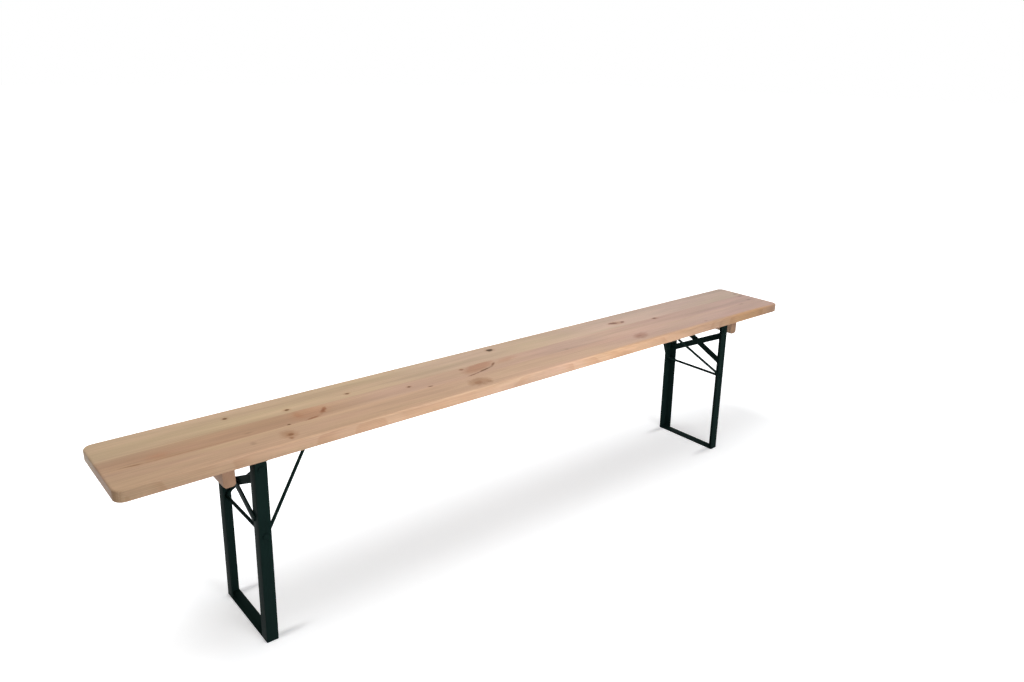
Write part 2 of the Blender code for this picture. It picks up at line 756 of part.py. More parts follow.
def make_hook(name, side, steel):
    """A strip bent into a hook: it holds the pin from below and from outboard, and the pin
    leaves it inboard, along the lip."""
    half = HOOK_THICKNESS / 2
    wall = hook_wall()
    top = PIN_BELOW_BOARD - FIT_GAP
    outline = [(hook_base_end(), top), (hook_base_end(), top - HOOK_THICKNESS)]
    outer, inner = wall + half, wall - half
    base = top - HOOK_THICKNESS
    outline += arc((outer + HOOK_BEND, base - HOOK_BEND), HOOK_BEND, math.pi / 2, math.pi)
    stop = HOOK_LIP_SLOPE - math.pi / 2
    lip = Vector((-math.cos(HOOK_LIP_SLOPE), -math.sin(HOOK_LIP_SLOPE))) * HOOK_LIP_LENGTH
    outer_arc = arc((0, 0), outer, 0, stop, 2 * CORNER_STEPS)
    inner_arc = arc((0, 0), inner, stop, 0, 2 * CORNER_STEPS)
    outline += outer_arc
    outline.append(tuple(Vector(outer_arc[-1]) + lip))
    outline.append(tuple(Vector(inner_arc[0]) + lip))
    outline += inner_arc
    bend = HOOK_BEND + HOOK_THICKNESS
    outline += arc((inner + bend, top - bend), bend, math.pi, math.pi / 2)
    bm = bmesh.new()
    prism(bm, outline, -CATCH_WIDTH / 2, CATCH_WIDTH / 2, along_y(side, 1))
    hook = place(name, bm, steel, location=(side * PIN_X, 0, PIN_Z))
    places = []
    for number in (0, 1):
        places.append(hook_base_end() - CATCH_SCREW_FROM_END - number * HOOK_SCREW_SPACING)
    cut(hook, make_strip_holes(name, side, places, base, top))


def make_strip_holes(name, side, places, low, high):
    holes = bmesh.new()
    bore = SCREW_SHANK_RADIUS + FIT_GAP
    low, high = low - OVERRUN, high + OVERRUN
    profile = [(0, low), (bore, low), (bore, high), (0, high)]
    for x in places:
        turned(holes, profile, lambda u, v, height, x=x: (side * (x + u), v, height))
    return make_cutter(name + "_holes", holes, location=(side * PIN_X, 0, PIN_Z))


def spring_path():
    """The leaf's centre line: screwed flat to the board, down to its nose, up against the pin."""
    base = PIN_BELOW_BOARD - FIT_GAP - SPRING_THICKNESS / 2
    knee = -SPRING_NOSE_AHEAD - SPRING_SLOPE_LENGTH
    near = ARM_RADIUS + PIN_CLEARANCE + SPRING_THICKNESS
    lean = 2 * math.pi / 3
    return [
        (knee - SPRING_BASE_LENGTH, base),
        (knee, base),
        (-SPRING_NOSE_AHEAD, SPRING_NOSE_RISE),
        (near * math.cos(lean), near * math.sin(lean)),
    ]


def make_spring(name, side, steel):
    """A leaf of spring strip whose nose keeps the pin from sliding out of the hook."""
    path = spring_path()
    outline = strip_outline(path, SPRING_THICKNESS, SPRING_BEND)
    bm = bmesh.new()
    prism(bm, outline, -SPRING_WIDTH / 2, SPRING_WIDTH / 2, along_y(side, 1))
    spring = place(name, bm, steel, location=(side * PIN_X, 0, PIN_Z))
    base = path[0][1] - SPRING_THICKNESS / 2
    holes = make_strip_holes(name, side, [path[0][0] + CATCH_SCREW_FROM_END], base, path[0][1])
    cut(spring, holes)


def main():
    clear_scene()
    wood = make_material("light_wood", (0.54, 0.36, 0.24), 0.5, 0)
    batten_wood = make_material("batten_wood", (0.40, 0.24, 0.15), 0.6, 0)
    painted = make_material("dark_green_paint", (0.008, 0.018, 0.016), 0.35, 0)
    zinc = make_material("zinc_plated_steel", (0.55, 0.56, 0.57), 0.35, 1)
    make_board(wood, make_pilot_holes())
    make_screws(zinc)
    for side_name, side in SIDES.items():
        make_batten(f"batten_{side_name}", side, batten_wood)
        for row_name, row in ROWS.items():
            make_hinge_bracket(f"hinge_bracket_{side_name}_{row_name}", side, row, painted)
            make_hinge_rivet(f"hinge_rivet_{side_name}_{row_name}", side, row, painted)
        make_hook(f"catch_hook_{side_name}", side, painted)
        make_spring(f"catch_spring_{side_name}", side, zinc)
        pivot = make_leg_frame(side_name, side, painted)
        make_strut(side_name, side, pivot, painted)


main()
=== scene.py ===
"""Looks of the folding beer bench.

Metres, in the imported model's own frame: +Z up, +X along the seat, -Y to the front, and the origin
on the floor under the middle of the seat. The file follows the bench as it is put together.
"""

import math

import bmesh
import bpy
from mathutils import Matrix, Vector


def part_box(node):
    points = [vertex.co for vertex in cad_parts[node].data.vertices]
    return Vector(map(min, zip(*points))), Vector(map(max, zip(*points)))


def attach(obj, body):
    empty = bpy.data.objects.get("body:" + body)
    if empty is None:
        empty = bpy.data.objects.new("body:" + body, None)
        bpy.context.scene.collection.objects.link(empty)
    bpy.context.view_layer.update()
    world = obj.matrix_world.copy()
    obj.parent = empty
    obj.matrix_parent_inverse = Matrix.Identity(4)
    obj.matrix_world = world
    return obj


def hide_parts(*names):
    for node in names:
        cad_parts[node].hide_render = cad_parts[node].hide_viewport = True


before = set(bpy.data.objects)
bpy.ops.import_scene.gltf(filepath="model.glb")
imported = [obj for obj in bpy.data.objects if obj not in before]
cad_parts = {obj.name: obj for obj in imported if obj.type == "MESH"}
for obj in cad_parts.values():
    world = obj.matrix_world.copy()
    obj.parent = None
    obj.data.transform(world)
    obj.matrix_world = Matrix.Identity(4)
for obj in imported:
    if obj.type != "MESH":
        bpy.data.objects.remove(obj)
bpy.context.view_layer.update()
bpy.ops.object.select_all(action="DESELECT")

# The view. The bench is seen from its left front and from above, at about chest height,
# through a moderately wide lens that is turned down a little.

camera_data = bpy.data.cameras.new("camera")
camera_data.lens = 28.533
camera_data.sensor_width = 36
camera = bpy.data.objects.new("camera", camera_data)
bpy.context.scene.collection.objects.link(camera)
bpy.context.scene.camera = camera
camera_place = Vector((-1.39625, -1.64352, 1.26600))
camera_yaw = 0.6971
camera_pitch = 0.3282
camera_roll = 0.0204
camera.matrix_world = (
    Matrix.Translation(camera_place)
    @ Matrix.Rotation(-camera_yaw, 4, "Z")
    @ Matrix.Rotation(math.pi / 2 - camera_pitch, 4, "X")
    @ Matrix.Rotation(camera_roll, 4, "Z")
)
bpy.context.scene.view_settings.view_transform = "Standard"


# The studio. A soft box hangs high over the bench, a narrow one is aimed at its front and a weak
# one stands at each end. The room is white to the camera and in a gloss, and grey as a light.


def add_node(tree, kind, inputs=(), **settings):
    """A shader node with its settings, each input fed by a socket or set to a value."""
    made = tree.nodes.new("ShaderNode" + kind)
    for setting, value in settings.items():
        setattr(made, setting, value)
    for key, value in inputs.items() if isinstance(inputs, dict) else enumerate(inputs):
        if isinstance(value, bpy.types.NodeSocket):
            tree.links.new(value, made.inputs[key])
        else:
            made.inputs[key].default_value = value
    return made.outputs[0]


def calculate(tree, operation, *inputs):
    return add_node(tree, "Math", inputs, operation=operation)


def calculate_vector(tree, operation, *inputs):
    return add_node(tree, "VectorMath", inputs, operation=operation)


def length_of(tree, vector):
    return calculate_vector(tree, "LENGTH", vector).node.outputs["Value"]


def ramp(tree, value, start, end, low=0.0, high=1.0, interpolation="LINEAR"):
    """Runs from low to high as the value goes from start to end, and stays level beyond them."""
    ends = {"From Min": start, "From Max": end, "To Min": low, "To Max": high}
    return add_node(tree, "MapRange", {"Value": value, **ends}, interpolation_type=interpolation)


def mix_colours(tree, blend, share, first, second):
    inputs = {0: share, 6: first, 7: second}
    return add_node(tree, "Mix", inputs, data_type="RGBA", blend_type=blend).node.outputs[2]


def seen_directly(tree):
    """1 for rays that show the room to the camera, in a gloss or through glass, 0 for light."""
    rays = tree.nodes.new("ShaderNodeLightPath").outputs
    direct = calculate(tree, "MAXIMUM", rays["Is Camera Ray"], rays["Is Glossy Ray"])
    return calculate(tree, "MAXIMUM", direct, rays["Is Transmission Ray"])


world = bpy.data.worlds.new("studio")
world.use_nodes = True
bpy.context.scene.world = world
room_tree = world.node_tree
room_light = 0.25
room_strength = ramp(room_tree, seen_directly(room_tree), 0.0, 1.0, room_light, 1.0)
room = room_tree.nodes["Background"]
room.inputs["Color"].default_value = (1, 1, 1, 1)
room_tree.links.new(room_strength, room.inputs["Strength"])


def hang_light(name, place, target, width, height, watts, spread=180):
    light_data = bpy.data.lights.new(name, "AREA")
    light_data.shape = "RECTANGLE"
    light_data.size = width
    light_data.size_y = height
    light_data.energy = watts
    light_data.spread = math.radians(spread)
    light = bpy.data.objects.new(name, light_data)
    bpy.context.scene.collection.objects.link(light)
    light.location = place
    light.rotation_mode = "QUATERNION"
    light.rotation_quaternion = (Vector(target) - Vector(place)).to_track_quat("-Z", "Y")


hang_light("overhead_box", (-0.6, 0, 6.0), (0, 0, 0), 4.2, 1.5, watts=195)
hang_light("front_box", (-0.05, -2.1, 1.1), (-0.05, 0, 0.4), 1.2, 1.2, watts=8.0, spread=66)
hang_light("left_box", (-4.2, 0.2, 1.2), (0, 0, 0.4), 1.2, 1.2, watts=5.5)
hang_light("right_box", (4.2, 0.2, 1.2), (0, 0, 0.4), 1.2, 1.2, watts=9.0)

# The floor: matt and pale, and white to the camera but for a long soft shade under the bench:
# its real shadow, deepened by painted shade where the glow is weaker and ended sooner on the left
# by painted light. A small painted shadow lies on the inner side of each foot.

bpy.ops.mesh.primitive_plane_add(size=80)
floor = bpy.context.object
floor.name = "floor"
floor_paint = bpy.data.materials.new("floor_paint")
floor_paint.use_nodes = True
floor_tree = floor_paint.node_tree
floor_shader = floor_tree.nodes["Principled BSDF"]
floor_shader.inputs["Base Color"].default_value = (0.780, 0.795, 0.812, 1)
floor_shader.inputs["Roughness"].default_value = 1
floor_shader.inputs["Specular IOR Level"].default_value = 0
floor_shader.inputs["Emission Color"].default_value = (1, 1, 1, 1)
floor_place = floor_tree.nodes.new("ShaderNodeTexCoord").outputs["Object"]
# Painted shade: the glow weakens towards the bench and is lowest under it.
shade_narrowing = (0.74, 1.95, 0)
shade_reach = (0.1, 1.9)
shade_glow = 0.285
from_middle = calculate_vector(floor_tree, "MULTIPLY", floor_place, shade_narrowing)
from_middle = length_of(floor_tree, from_middle)
glow = ramp(floor_tree, from_middle, *shade_reach, shade_glow, 1.0, "SMOOTHSTEP")
# Painted light: the glow rises again at the bench's left end, so that the shade ends sooner there.
left_end = (-0.88, -1.03)
left_end_lift = 0.15
floor_x = add_node(floor_tree, "SeparateXYZ", [floor_place])
left_lift = ramp(floor_tree, floor_x, *left_end, 0.0, left_end_lift, "SMOOTHSTEP")
glow = calculate(floor_tree, "ADD", glow, left_lift)
# Painted shadow: a small dark ellipse taken out of the glow on the inner side of each foot.
streak_middle = (0.782, 0.107, 0)
streak_narrowing = (11.0, 50.0, 0)
streak_depth = 0.27
from_streak = calculate_vector(floor_tree, "ABSOLUTE", floor_place)
from_streak = calculate_vector(floor_tree, "SUBTRACT", from_streak, streak_middle)
from_streak = calculate_vector(floor_tree, "MULTIPLY", from_streak, streak_narrowing)
from_streak = length_of(floor_tree, from_streak)
streak = ramp(floor_tree, from_streak, 0.0, 1.0, streak_depth, 0.0, "SMOOTHSTEP")
glow = calculate(floor_tree, "SUBTRACT", glow, streak)
glow = calculate(floor_tree, "MULTIPLY", seen_directly(floor_tree), glow)
floor_tree.links.new(glow, floor_shader.inputs["Emission Strength"])
floor.data.materials.append(floor_paint)


# Softwood as a solid: yearly rings round a pith that runs along the plank, with a taper that
# draws them out to long arches on the face, and fine fibres between them.


def start_group(name, inputs, outputs):
    """An empty node group; inputs lists (name, socket kind, value), outputs (name, socket kind)."""
    tree = bpy.data.node_groups.new(name, "ShaderNodeTree")
    for socket_name, kind, value in inputs:
        kind = "NodeSocket" + kind
        socket = tree.interface.new_socket(socket_name, in_out="INPUT", socket_type=kind)
        socket.default_value = value
    for socket_name, kind in outputs:
        tree.interface.new_socket(socket_name, in_out="OUTPUT", socket_type="NodeSocket" + kind)
    entry = tree.nodes.new("NodeGroupInput").outputs
    leave = tree.nodes.new("NodeGroupOutput").inputs
    return tree, entry, leave


def add_group(tree, group, inputs):
    """A group placed in a material; gives back its outputs."""
    made = tree.nodes.new("ShaderNodeGroup")
    made.node_tree = group
    for key, value in inputs.items():
        if isinstance(value, bpy.types.NodeSocket):
            tree.links.new(value, made.inputs[key])
        else:
            made.inputs[key].default_value = value
    return made.outputs


softwood, entry, leave = start_group(
    "softwood",
    [
        ("Place", "Vector", (0, 0, 0)),
        ("Pith Y", "Float", 0.0),
        ("Pith Z", "Float", 0.0),
        ("Taper", "Float", 0.01),
        ("Push", "Float", 0.0),
        ("Ring Width", "Float", 0.003),
        ("Seed", "Float", 0.0),
    ],
    [("Late Wood", "Float"), ("Fibre", "Float"), ("Drift", "Float")],
)
place = add_node(softwood, "SeparateXYZ", [entry["Place"]]).node.outputs
along = calculate(softwood, "ADD", place["X"], entry["Seed"])
slow_place = add_node(softwood, "CombineXYZ", [along, place["Y"], place["Z"]])
wander = add_node(softwood, "TexNoise", {"Vector": slow_place, "Scale": 2.2, "Detail": 1.0}).node
wander = add_node(softwood, "SeparateColor", [wander.outputs["Color"]]).node.outputs
wander_reach = 0.030
across = calculate(softwood, "SUBTRACT", place["Y"], entry["Pith Y"])
across = calculate(softwood, "ADD", across, entry["Push"])
across = calculate(softwood, "MULTIPLY_ADD", wander[0], wander_reach, across)
depth = calculate(softwood, "SUBTRACT", place["Z"], entry["Pith Z"])
depth = calculate(softwood, "MULTIPLY_ADD", place["X"], entry["Taper"], depth)
depth = calculate(softwood, "MULTIPLY_ADD", wander[1], wander_reach, depth)
ring_place = add_node(softwood, "CombineXYZ", [0.0, across, depth])
years = calculate(softwood, "DIVIDE", length_of(softwood, ring_place), entry["Ring Width"])
ring_pace = add_node(softwood, "TexNoise", {"Vector": slow_place, "Scale": 7.0, "Detail": 2.0})
years_early_or_late = 1.5
years = calculate(softwood, "MULTIPLY_ADD", ring_pace, years_early_or_late, years)
season = calculate(softwood, "FRACT", years)
summer_span = (0.35, 0.90)
winter_span = (1.0, 0.93)
summer = ramp(softwood, season, *summer_span, interpolation="SMOOTHSTEP")
winter = ramp(softwood, season, *winter_span, interpolation="SMOOTHSTEP")
softwood.links.new(calculate(softwood, "MULTIPLY", summer, winter), leave["Late Wood"])


def streaky_noise(tree, place, per_metre, detail):
    """Noise drawn out along the plank, with about per_metre spots along X, Y and Z."""
    place = calculate_vector(tree, "MULTIPLY", place, per_metre)
    return add_node(tree, "TexNoise", {"Vector": place, "Scale": 1.0, "Detail": detail})


softwood.links.new(streaky_noise(softwood, slow_place, (9, 620, 620), 3.0), leave["Fibre"])
softwood.links.new(streaky_noise(softwood, slow_place, (2.2, 26, 26), 2.0), leave["Drift"])

# A knot, stain, resin streak, broad patch of tone or broad patch of painted sheen: an ellipse on
# the plank's face that tints the wood through its whole thickness and pushes the rings aside.

wood_mark, entry, leave = start_group(
    "wood_mark",
    [
        ("Color", "Color", (0.5, 0.35, 0.22, 1)),
        ("Place", "Vector", (0, 0, 0)),
        ("Centre X", "Float", 0.0),
        ("Centre Y", "Float", 0.0),
        ("Half Length", "Float", 0.01),
        ("Half Width", "Float", 0.01),
        ("Turn", "Float", 0.0),
        ("Tint", "Color", (1, 1, 1, 1)),
        ("Edge", "Float", 0.5),
        ("Ragged", "Float", 0.5),
        ("Flow", "Float", 0.0),
    ],
    [("Color", "Color"), ("Push", "Float")],
)
place = add_node(wood_mark, "SeparateXYZ", [entry["Place"]]).node.outputs
off_x = calculate(wood_mark, "SUBTRACT", place["X"], entry["Centre X"])
off_y = calculate(wood_mark, "SUBTRACT", place["Y"], entry["Centre Y"])
cosine = calculate(wood_mark, "COSINE", entry["Turn"])
sine = calculate(wood_mark, "SINE", entry["Turn"])
lengthways = calculate(wood_mark, "MULTIPLY", off_x, cosine)
lengthways = calculate(wood_mark, "MULTIPLY_ADD", off_y, sine, lengthways)
lengthways = calculate(wood_mark, "DIVIDE", lengthways, entry["Half Length"])
sideways = calculate(wood_mark, "MULTIPLY", off_y, cosine)
sideways = calculate(wood_mark, "SUBTRACT", sideways, calculate(wood_mark, "MULTIPLY", off_x, sine))
sideways = calculate(wood_mark, "DIVIDE", sideways, entry["Half Width"])
mark_place = add_node(wood_mark, "CombineXYZ", [lengthways, sideways, 0.0])
distance = length_of(wood_mark, mark_place)
grit = add_node(wood_mark, "TexNoise", {"Vector": entry["Place"], "Scale": 90.0, "Detail": 3.0})
noise_middle = 0.5
grit = calculate(wood_mark, "SUBTRACT", grit, noise_middle)
ragged_distance = calculate(wood_mark, "MULTIPLY_ADD", grit, entry["Ragged"], distance)
inner_edge = calculate(wood_mark, "SUBTRACT", 1.0, entry["Edge"])
cover = ramp(wood_mark, ragged_distance, 1.0, inner_edge, interpolation="SMOOTHSTEP")
tinted = mix_colours(wood_mark, "MULTIPLY", cover, entry["Color"], entry["Tint"])
wood_mark.links.new(tinted, leave["Color"])
flow_fading = -0.7
reach = calculate(wood_mark, "MULTIPLY", distance, flow_fading)
reach = calculate(wood_mark, "EXPONENT", calculate(wood_mark, "MULTIPLY", reach, distance))
push = calculate(wood_mark, "MULTIPLY", off_y, reach)
push = calculate(wood_mark, "MULTIPLY", push, entry["Flow"])
wood_mark.links.new(push, leave["Push"])

# The seat board's wood. Each of its three planks has its own pith and tone, and its own knots
# where the tree had branches; the face is planed, sanded and given a thin clear lacquer. A painted
# sheen makes the wood paler and bluer towards the right end.

noise_span = (0.3, 0.7)
late_wood_share = 0.42
tone_span = (0.88, 1.09)
yellowish = (0.985, 1.01, 0.965, 1)
rosy = (1.02, 0.99, 1.01, 1)
blush_spots = (3.5, 24, 24)
paling_span = (-0.5, 1.0)
paler_to_right = (0.99, 1.03, 1.26, 1)
end_face_span = (0.6, 0.95)
end_grain_shade = (0.78, 0.72, 0.66, 1)
lacquer_roughness = 0.36
fibre_roughness = 0.16
lacquer_gloss = 0.06
late_wood_relief = 0.2
grain_depth = 0.0002


def make_plank_wood(name, spring_wood, summer_wood, pith, taper, seed, marks, crossways=False):
    """Lacquered softwood; marks lists knots, stains, tone patches and patches of painted sheen as
    (x, y, half length, half width, turn, tint, edge, ragged, flow), and crossways lays the grain
    along Y in place of X."""
    material = bpy.data.materials.new(name)
    material.use_nodes = True
    tree = material.node_tree
    shader = tree.nodes["Principled BSDF"]
    place = tree.nodes.new("ShaderNodeTexCoord").outputs["Object"]
    normal = tree.nodes.new("ShaderNodeNewGeometry").outputs["Normal"]
    facing = add_node(tree, "SeparateXYZ", [normal]).node.outputs["Y" if crossways else "X"]
    if crossways:
        turned = add_node(tree, "SeparateXYZ", [place]).node.outputs
        place = add_node(tree, "CombineXYZ", [turned["Y"], turned["X"], turned["Z"]])
    mark_groups = []
    push = 0.0
    for x, y, half_length, half_width, turn, tint, edge, ragged, flow in marks:
        mark = add_group(
            tree,
            wood_mark,
            {
                "Place": place,
                "Centre X": x,
                "Centre Y": y,
                "Half Length": half_length,
                "Half Width": half_width,
                "Turn": math.radians(turn),
                "Tint": (*tint, 1),
                "Edge": edge,
                "Ragged": ragged,
                "Flow": flow,
            },
        )
        mark_groups.append(mark)
        if flow:
            push = calculate(tree, "ADD", push, mark["Push"])
    growth = {"Place": place, "Pith Y": pith[0], "Pith Z": pith[1], "Taper": taper}
    grain = add_group(tree, softwood, {**growth, "Push": push, "Seed": seed})
    late_wood = calculate(tree, "MULTIPLY", grain["Late Wood"], late_wood_share)
    colour = mix_colours(tree, "MIX", late_wood, (*spring_wood, 1), (*summer_wood, 1))
    fibre_tone = ramp(tree, grain["Fibre"], *noise_span, *tone_span)
    drift_tone = ramp(tree, grain["Drift"], *noise_span, *tone_span)
    tone = calculate(tree, "MULTIPLY", fibre_tone, drift_tone)
    tone = add_node(tree, "CombineColor", [tone, tone, tone])
    colour = mix_colours(tree, "MULTIPLY", 1.0, colour, tone)
    ways = add_node(tree, "SeparateXYZ", [place]).node.outputs
    own_along = calculate(tree, "ADD", ways["X"], seed)
    own_place = add_node(tree, "CombineXYZ", [own_along, ways["Y"], ways["Z"]])
    blush = ramp(tree, streaky_noise(tree, own_place, blush_spots, 2.0), *noise_span)
    blush = mix_colours(tree, "MIX", blush, yellowish, rosy)
    colour = mix_colours(tree, "MULTIPLY", 1.0, colour, blush)
    # Painted sheen: the wood turns paler and bluer from left of the middle to the right end.
    paleness = ramp(tree, ways["X"], *paling_span)
    colour = mix_colours(tree, "MULTIPLY", paleness, colour, paler_to_right)
    for mark in mark_groups:
        tree.links.new(colour, mark["Color"].node.inputs["Color"])
        colour = mark["Color"]
    end_face = ramp(tree, calculate(tree, "ABSOLUTE", facing), *end_face_span)
    colour = mix_colours(tree, "MULTIPLY", end_face, colour, end_grain_shade)
    tree.links.new(colour, shader.inputs["Base Color"])
    roughness = calculate(tree, "MULTIPLY_ADD", grain["Fibre"], fibre_roughness, lacquer_roughness)
    tree.links.new(roughness, shader.inputs["Roughness"])
    shader.inputs["Specular IOR Level"].default_value = lacquer_gloss
    relief = calculate(tree, "MULTIPLY_ADD", grain["Late Wood"], late_wood_relief, grain["Fibre"])
    bump = add_node(tree, "Bump", {"Height": relief, "Strength": 0.3, "Distance": grain_depth})
    tree.links.new(bump, shader.inputs["Normal"])
    return material


knot_brown = (0.40, 0.31, 0.24)
knot_dark = (0.17, 0.14, 0.09)
halo_brown = (0.80, 0.70, 0.62)
halo_pink = (1.02, 0.92, 0.88)
smoke = (0.82, 0.80, 0.80)

# Each mark: x, y, half length, half width, turn, tint, edge, ragged, flow.
back_marks = [
    (-0.808, 0.079, 0.013, 0.010, 0, halo_brown, 0.9, 0.4, 0.5),
    (-0.808, 0.079, 0.0065, 0.006, 0, knot_brown, 0.5, 0.5, 0.9),
    (-0.674, 0.041, 0.015, 0.010, 0, halo_brown, 0.9, 0.4, 0.5),
    (-0.674, 0.041, 0.007, 0.006, 20, knot_brown, 0.5, 0.6, 0.9),
    (-0.513, 0.045, 0.014, 0.009, 0, halo_brown, 0.9, 0.4, 0.5),
    (-0.513, 0.045, 0.0065, 0.005, -20, knot_brown, 0.5, 0.6, 0.9),
    (-0.029, 0.090, 0.024, 0.016, 0, halo_brown, 0.9, 0.5, 0.6),
    (-0.029, 0.090, 0.012, 0.010, 10, knot_dark, 0.4, 0.7, 1.2),
    (0.462, 0.054, 0.044, 0.020, -10, halo_brown, 0.7, 0.8, 0.5),
    (0.450, 0.057, 0.024, 0.011, -20, (0.52, 0.41, 0.39), 0.6, 0.9, 0.8),
    (0.484, 0.050, 0.016, 0.008, 30, (0.52, 0.41, 0.39), 0.6, 0.9, 0.8),
    (1.076, 0.043, 0.020, 0.012, 30, (0.70, 0.66, 0.66), 0.9, 0.7, 0.3),
    (-0.850, 0.020, 0.340, 0.026, 0, (0.94, 0.91, 0.88), 1.0, 0.1, 0.0),
    (-0.190, 0.070, 0.300, 0.090, 0, (0.930, 0.920, 0.975), 0.8, 0.1, 0.0),
    # Painted sheen: this broad patch makes the back plank's right half paler and bluer.
    (0.560, 0.070, 0.480, 0.100, 0, (1.030, 1.005, 1.090), 0.8, 0.1, 0.0),
]
middle_marks = [
    (-0.850, -0.010, 0.450, 0.080, 0, (0.82, 0.77, 0.71), 0.7, 0.1, 0.0),
    (-0.985, -0.020, 0.038, 0.024, 0, (1.00, 0.90, 0.86), 1.0, 0.5, 0.0),
    (-0.640, -0.004, 0.066, 0.042, 8, halo_pink, 0.6, 0.6, 0.5),
    (-0.668, 0.000, 0.016, 0.030, 0, (0.95, 0.88, 0.84), 0.9, 0.8, 0.0),
    (-0.606, -0.010, 0.026, 0.009, 52, (0.62, 0.44, 0.36), 0.8, 1.0, 0.6),
    (-0.648, -0.037, 0.028, 0.006, 10, (0.66, 0.52, 0.44), 0.8, 0.9, 0.3),
    (-0.705, -0.038, 0.0055, 0.004, 0, knot_brown, 0.5, 0.6, 0.6),
    (-0.366, -0.009, 0.013, 0.009, 0, halo_brown, 0.9, 0.4, 0.5),
    (-0.366, -0.009, 0.006, 0.0055, 0, knot_brown, 0.5, 0.6, 0.9),
    (-0.320, -0.038, 0.010, 0.0045, 0, knot_brown, 0.7, 0.7, 0.6),
    (-0.140, 0.000, 0.075, 0.028, 18, (0.84, 0.70, 0.64), 0.5, 0.5, 0.5),
    (-0.040, 0.002, 0.060, 0.020, 10, (0.94, 0.86, 0.82), 0.9, 0.4, 0.0),
    (-0.187, 0.011, 0.010, 0.008, 0, (0.56, 0.42, 0.34), 0.7, 0.8, 0.9),
    (-0.092, -0.006, 0.026, 0.0055, 40, (0.46, 0.33, 0.26), 0.8, 0.6, 0.4),
    (-0.133, -0.025, 0.044, 0.0055, 15, (0.36, 0.26, 0.20), 0.8, 0.6, 0.4),
    (-0.182, -0.037, 0.032, 0.0045, 10, (0.48, 0.36, 0.28), 0.8, 0.6, 0.4),
    (0.158, -0.036, 0.012, 0.008, 0, smoke, 0.9, 0.6, 0.5),
    (0.602, 0.016, 0.024, 0.013, 0, halo_brown, 0.9, 0.6, 0.5),
    (0.602, 0.017, 0.010, 0.008, 10, knot_brown, 0.6, 0.8, 1.0),
    (-1.040, -0.033, 0.034, 0.004, -4, (0.62, 0.54, 0.46), 0.9, 0.6, 0.0),
    (-0.930, -0.036, 0.150, 0.003, 0, (0.82, 0.76, 0.70), 0.9, 0.6, 0.0),
    (-0.795, -0.026, 0.016, 0.005, 0, smoke, 0.9, 0.6, 0.0),
    (1.071, 0.013, 0.022, 0.010, 0, (0.68, 0.63, 0.63), 0.9, 0.7, 0.3),
    (1.055, -0.032, 0.018, 0.009, 0, (0.74, 0.69, 0.69), 0.9, 0.7, 0.3),
    (-0.400, -0.010, 0.200, 0.080, 0, (0.92, 0.93, 0.96), 0.8, 0.1, 0.0),
    (-0.960, 0.024, 0.280, 0.034, 0, (1.09, 1.15, 1.15), 1.0, 0.1, 0.0),
    (0.190, -0.010, 0.200, 0.080, 0, (0.90, 0.91, 0.95), 0.8, 0.1, 0.0),
]
front_marks = [
    (-0.600, -0.084, 0.950, 0.070, 0, (0.86, 0.87, 0.87), 0.9, 0.1, 0.0),
    (-0.807, -0.082, 0.010, 0.012, 0, smoke, 0.9, 0.5, 0.5),
    (-0.727, -0.085, 0.026, 0.030, 0, halo_brown, 0.8, 0.7, 0.5),
    (-0.724, -0.088, 0.012, 0.010, 0, (0.62, 0.50, 0.42), 0.8, 0.8, 0.8),
    (-0.730, -0.104, 0.008, 0.010, 0, (0.66, 0.54, 0.44), 0.9, 0.8, 0.0),
    (-0.198, -0.086, 0.044, 0.030, 0, (0.76, 0.68, 0.62), 0.5, 0.7, 0.5),
    (-0.206, -0.089, 0.024, 0.012, 20, (0.82, 0.74, 0.68), 0.8, 0.9, 0.6),
    (-0.174, -0.098, 0.012, 0.014, -20, (0.70, 0.60, 0.50), 0.9, 0.9, 0.4),
    (0.431, -0.079, 0.042, 0.026, 20, (0.80, 0.71, 0.68), 0.6, 0.8, 0.5),
    (0.425, -0.078, 0.022, 0.009, 0, (0.78, 0.68, 0.64), 0.8, 0.8, 0.6),
    (0.719, -0.102, 0.012, 0.008, 0, smoke, 0.9, 0.6, 0.4),
    (0.984, -0.051, 0.020, 0.008, 0, smoke, 0.9, 0.6, 0.4),
    # Painted sheen: these two broad patches make the front plank's right half paler and bluer.
    (1.050, -0.070, 0.500, 0.055, 0, (1.10, 1.11, 1.12), 0.6, 0.1, 0.0),
    (0.580, -0.080, 0.420, 0.060, 0, (1.030, 1.035, 1.090), 0.8, 0.1, 0.0),
    (0.650, -0.125, 0.650, 0.016, 0, (1.07, 1.01, 0.86), 0.5, 0.1, 0.0),
    (0.930, -0.125, 0.180, 0.016, 0, (1.03, 0.96, 0.76), 0.8, 0.2, 0.0),
]
planks = {}
for plank_name, spring_wood, summer_wood, pith, taper, seed, marks in (
    ("back", (0.535, 0.385, 0.252), (0.44, 0.285, 0.166), (0.06, 0.3), 0.010, 3.0, back_marks),
    ("middle", (0.53, 0.35, 0.24), (0.43, 0.25, 0.155), (-0.03, 0.42), -0.012, 11.0, middle_marks),
    ("front", (0.54, 0.356, 0.234), (0.44, 0.257, 0.152), (-0.105, 0.36), 0.008, 23.0, front_marks),
):
    planks[plank_name] = make_plank_wood(
        plank_name + "_plank_wood", spring_wood, summer_wood, pith, taper, seed, marks
    )


# The seat board: three softwood planks glued edge to edge, then cut to length with round
# corners and routed round both faces' edges.


def saw_to_size(name, low, high):
    """A block between two corners, with its place in its mesh."""
    bpy.ops.object.select_all(action="DESELECT")
    bpy.ops.mesh.primitive_cube_add(size=1, location=(low + high) / 2, scale=high - low)
    piece = bpy.context.object
    piece.name = name
    bpy.ops.object.transform_apply(location=True, rotation=True, scale=True)
    return piece


